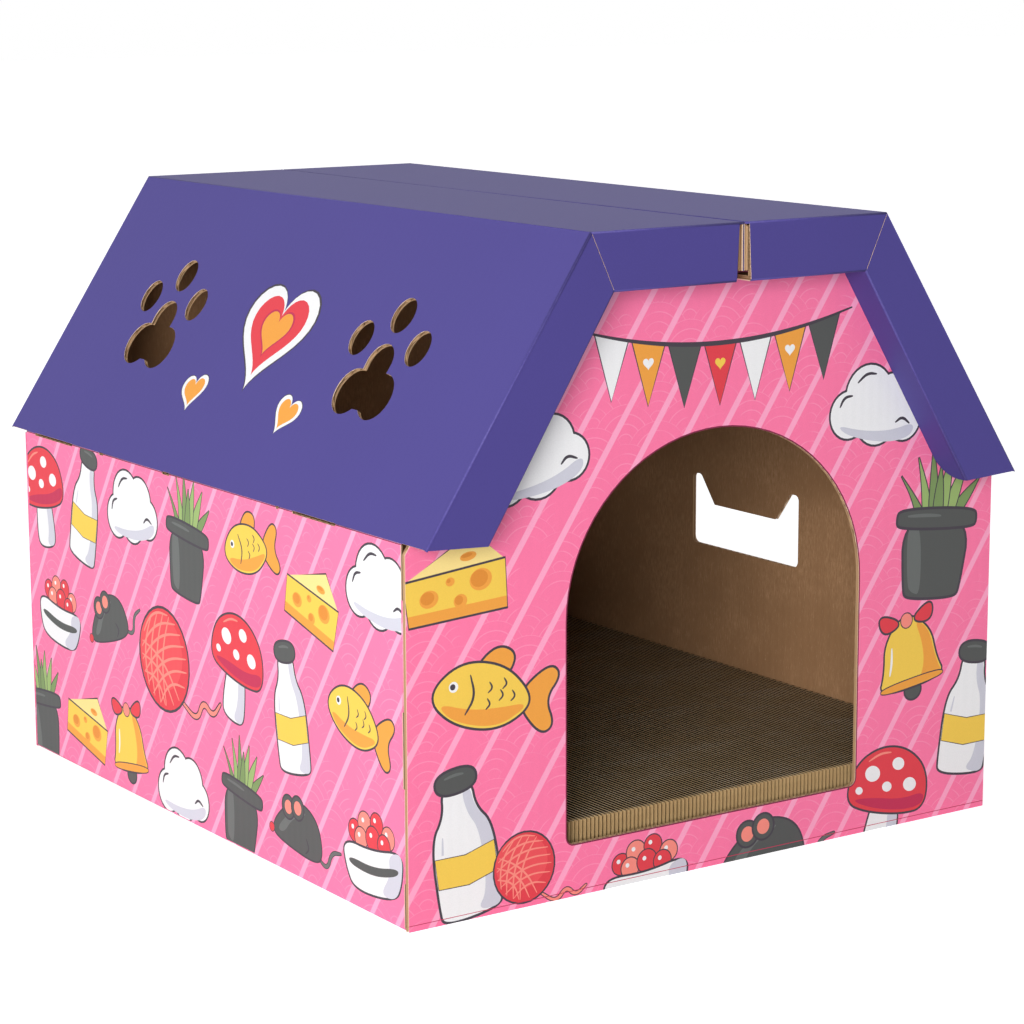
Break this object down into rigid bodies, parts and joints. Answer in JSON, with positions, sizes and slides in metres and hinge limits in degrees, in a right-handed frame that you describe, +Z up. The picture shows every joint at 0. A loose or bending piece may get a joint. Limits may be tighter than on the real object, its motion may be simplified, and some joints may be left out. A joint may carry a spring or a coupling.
{
  "type": "cardboard cat house",
  "caption": "Folded corrugated board cat house with an arched doorway, a two-pitch roof that folds open, paw and cat-head cut-outs and a lift-out scratch pad.",
  "frame": {"origin": "on the floor, under the centre of the roof", "axes": "+Y from the doorway to the back wall, +X to the window's side, +Z up"},
  "size_m": [0.4, 0.485, 0.3561],
  "materials": {
    "wall_board": "matt printed liner in pink with lighter stripes outside, raw kraft inside and at the edges",
    "roof_board": "matt printed liner in blue violet outside, raw kraft inside and at the edges",
    "kraft_board": "raw kraft liner, unprinted",
    "scratch_strips": "cut edges of corrugated strips, open flutes up"
  },
  "bodies": {
    "house": {"front_wall": "wall_board", "back_wall": "wall_board", "left_side_wall": "wall_board", "right_side_wall": "wall_board", "base_panel": "kraft_board", "left_front_corner_flap": "kraft_board", "left_back_corner_flap": "kraft_board", "right_front_corner_flap": "kraft_board", "right_back_corner_flap": "kraft_board", "left_bottom_flap": "kraft_board", "right_bottom_flap": "kraft_board"},
    "pad": {"scratch_pad": "scratch_strips"},
    "left_slope": {"left_roof_slope": "roof_board", "left_front_slope_fascia": "roof_board", "left_front_slope_return": "roof_board", "left_back_slope_fascia": "roof_board", "left_back_slope_return": "roof_board"},
    "left_top": {"left_roof_top": "roof_board", "left_front_top_fascia": "roof_board", "left_front_top_return": "roof_board", "left_back_top_fascia": "roof_board", "left_back_top_return": "roof_board"},
    "left_flap": {"left_ridge_flap": "roof_board"},
    "right_slope": {"right_roof_slope": "roof_board", "right_front_slope_fascia": "roof_board", "right_front_slope_return": "roof_board", "right_back_slope_fascia": "roof_board", "right_back_slope_return": "roof_board"},
    "right_top": {"right_roof_top": "roof_board", "right_front_top_fascia": "roof_board", "right_front_top_return": "roof_board", "right_back_top_fascia": "roof_board", "right_back_top_return": "roof_board"},
    "right_flap": {"right_ridge_flap": "roof_board"}
  },
  "joints": [
    {"name": "left_roof_fold", "type": "hinge", "parent": "house", "child": "left_slope", "pos_m": [-0.2, 0, 0.2034], "axis": [0, -1, 0], "range_deg": [0, 160]},
    {"name": "left_bend_fold", "type": "hinge", "parent": "left_slope", "child": "left_top", "pos_m": [-0.0991, 0, 0.3561], "axis": [0, -1, 0], "range_deg": [0, 56.54]},
    {"name": "left_ridge_fold", "type": "hinge", "parent": "left_top", "child": "left_flap", "pos_m": [-0.0004, 0, 0.3561], "axis": [0, -1, 0], "range_deg": [0, 90]},
    {"name": "right_roof_fold", "type": "hinge", "parent": "house", "child": "right_slope", "pos_m": [0.2, 0, 0.2034], "axis": [0, 1, 0], "range_deg": [0, 160]},
    {"name": "right_bend_fold", "type": "hinge", "parent": "right_slope", "child": "right_top", "pos_m": [0.0991, 0, 0.3561], "axis": [0, 1, 0], "range_deg": [0, 56.54]},
    {"name": "right_ridge_fold", "type": "hinge", "parent": "right_top", "child": "right_flap", "pos_m": [0.0004, 0, 0.3561], "axis": [0, 1, 0], "range_deg": [0, 90]},
    {"name": "pad_lift", "type": "slide", "parent": "house", "child": "pad", "axis": [0, 0, 1], "range_m": [0, 0.15]}
  ],
  "couplings": [
    {"joint": "left_bend_fold", "follows": "left_roof_fold", "ratio": 0.3534},
    {"joint": "left_ridge_fold", "follows": "left_roof_fold", "ratio": 0.5625},
    {"joint": "right_bend_fold", "follows": "right_roof_fold", "ratio": 0.3534},
    {"joint": "right_ridge_fold", "follows": "right_roof_fold", "ratio": 0.5625}
  ]
}
